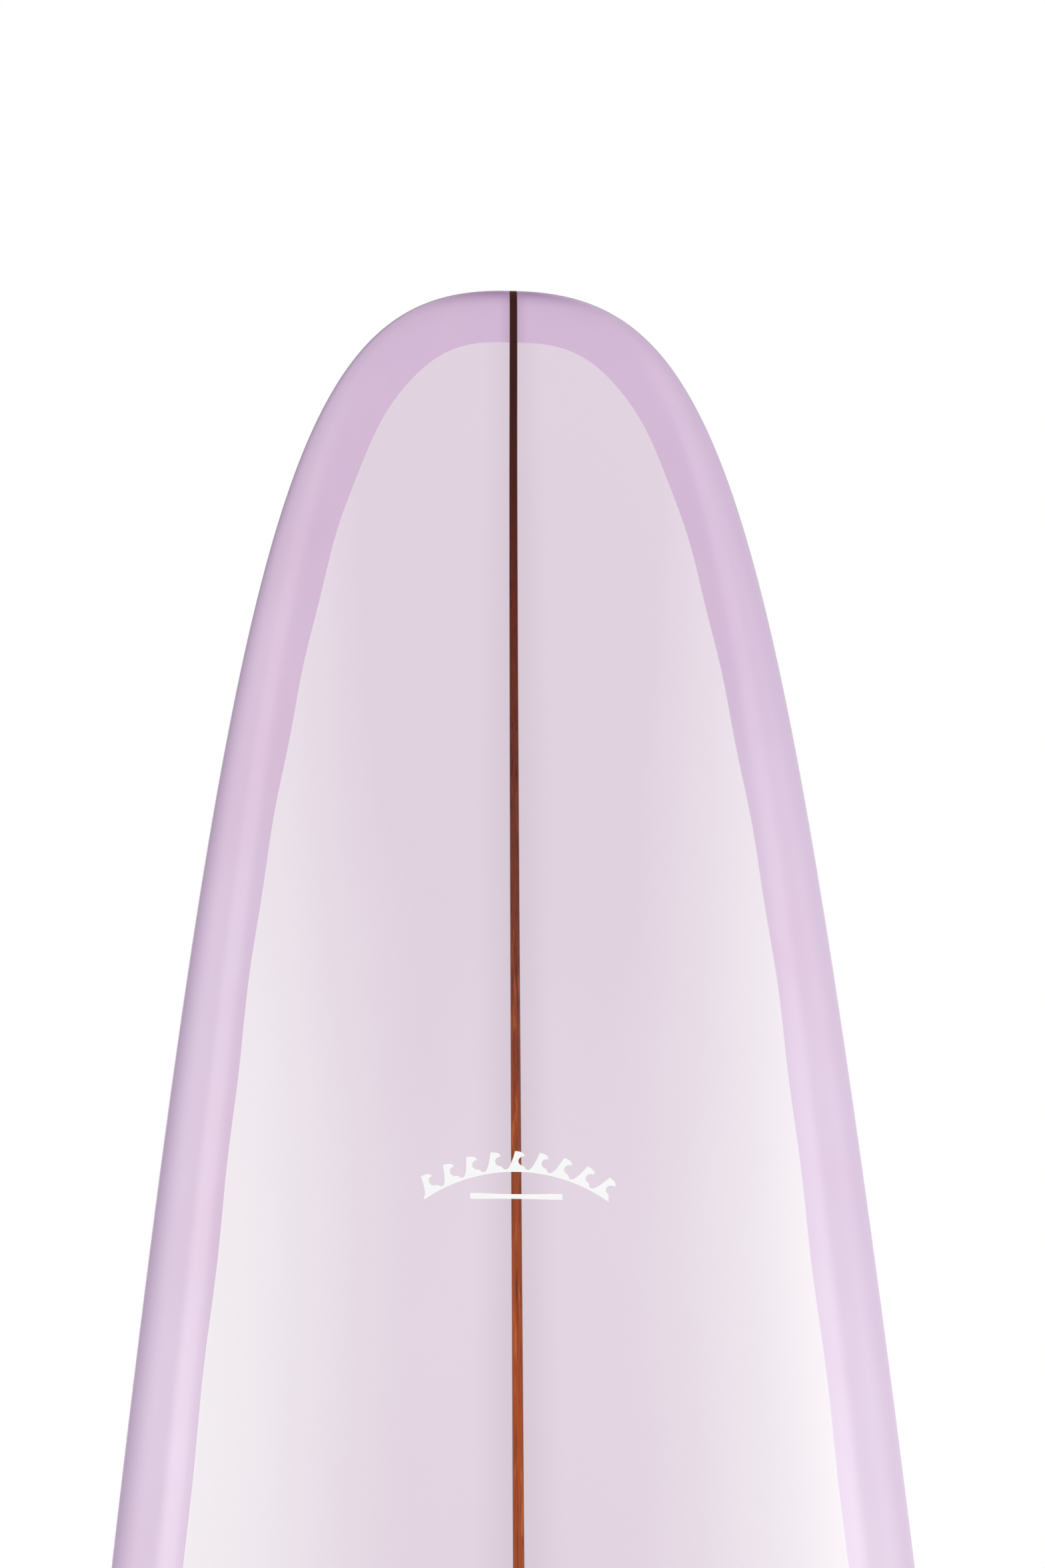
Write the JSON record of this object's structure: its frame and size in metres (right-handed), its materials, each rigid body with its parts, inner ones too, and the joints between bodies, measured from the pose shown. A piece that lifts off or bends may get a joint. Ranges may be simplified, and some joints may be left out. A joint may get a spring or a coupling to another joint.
{
  "type": "longboard surfboard",
  "caption": "Round-nosed longboard surfboard with a wooden stringer, lavender glass that laps onto a pale deck, a slide-in raked fin and a leash plug.",
  "frame": {"origin": "on the centreline of the bottom's flat spot, half way along the board", "axes": "+Z along the board from tail to nose; +Y out of the bottom, on the fin's side; the deck faces -Y; +X to the right of someone who faces the deck with the nose up"},
  "size_m": [0.581, 0.3206, 2.87],
  "materials": {
    "foam": "matte",
    "redwood": "satin",
    "dark_glue": "satin",
    "lavender_glass": "gloss",
    "clear_coat": "gloss",
    "deck_tint": "gloss",
    "emblem_print": "satin",
    "white_plastic": "satin",
    "filler_resin": "gloss",
    "fin_glass": "gloss",
    "stainless_steel": "satin",
    "brass": "satin"
  },
  "bodies": {
    "board": {"foam_port": "foam", "foam_starboard": "foam", "stringer": "redwood", "glue_line_port": "dark_glue", "glue_line_starboard": "dark_glue", "bottom_glass": "lavender_glass", "bottom_hot_coat": "clear_coat", "deck_inlay": "deck_tint", "deck_emblem": "emblem_print", "deck_glass": "clear_coat", "fin_box": "white_plastic", "fin_box_resin_bed": "filler_resin", "fin_box_patch": "clear_coat", "leash_cup": "white_plastic", "leash_bar": "stainless_steel", "leash_plug_resin_bed": "filler_resin"},
    "fin": {"fin": "fin_glass", "fin_cross_pin": "brass"},
    "fin_screw": {"fin_screw": "stainless_steel"},
    "fin_plate": {"fin_plate": "brass"}
  },
  "joints": [
    {"name": "fin_slide", "type": "slide", "parent": "board", "child": "fin", "axis": [0, 0.0872, 0.9962], "range_m": [-0.03, 0.03]},
    {"name": "screw_turn", "type": "hinge", "parent": "fin", "child": "fin_screw", "pos_m": [0, -0.03914, -1.04601], "axis": [0, 0.9962, -0.0872], "range_deg": [-90, 360]},
    {"name": "plate_travel", "type": "slide", "parent": "fin", "child": "fin_plate", "axis": [0, -0.9962, 0.0872], "range_m": [-0.0001984, 0.0007937]}
  ],
  "couplings": [
    {"joint": "screw_turn", "follows": "plate_travel", "rad_per_m": 7915.8}
  ]
}
